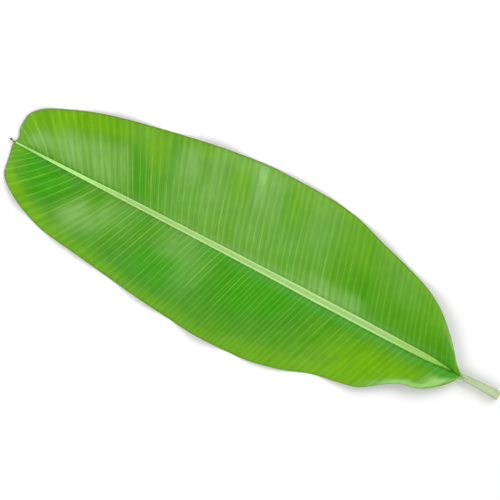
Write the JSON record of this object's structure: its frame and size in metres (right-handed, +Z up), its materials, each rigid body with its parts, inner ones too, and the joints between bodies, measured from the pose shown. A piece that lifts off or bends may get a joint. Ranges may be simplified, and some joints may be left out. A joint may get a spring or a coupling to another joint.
{
  "type": "banana leaf",
  "caption": "Whole fresh banana leaf lying face up, with a wavy margin, raised lateral ribs, a channelled midrib with a keel below, and a short cut petiole.",
  "frame": {"origin": "centre of the leaf's bounding box in plan, on the surface that the leaf lies on", "axes": "+X along the midrib towards the tip, +Y to the left half as seen from above with the tip ahead, +Z up out of the upper face"},
  "size_m": [0.897, 0.3014, 0.0299],
  "materials": {
    "leaf": "fresh green leaf with a soft waxy sheen, paler along the midrib and the petiole"
  },
  "bodies": {
    "root": {"banana_leaf": "leaf"}
  },
  "joints": []
}
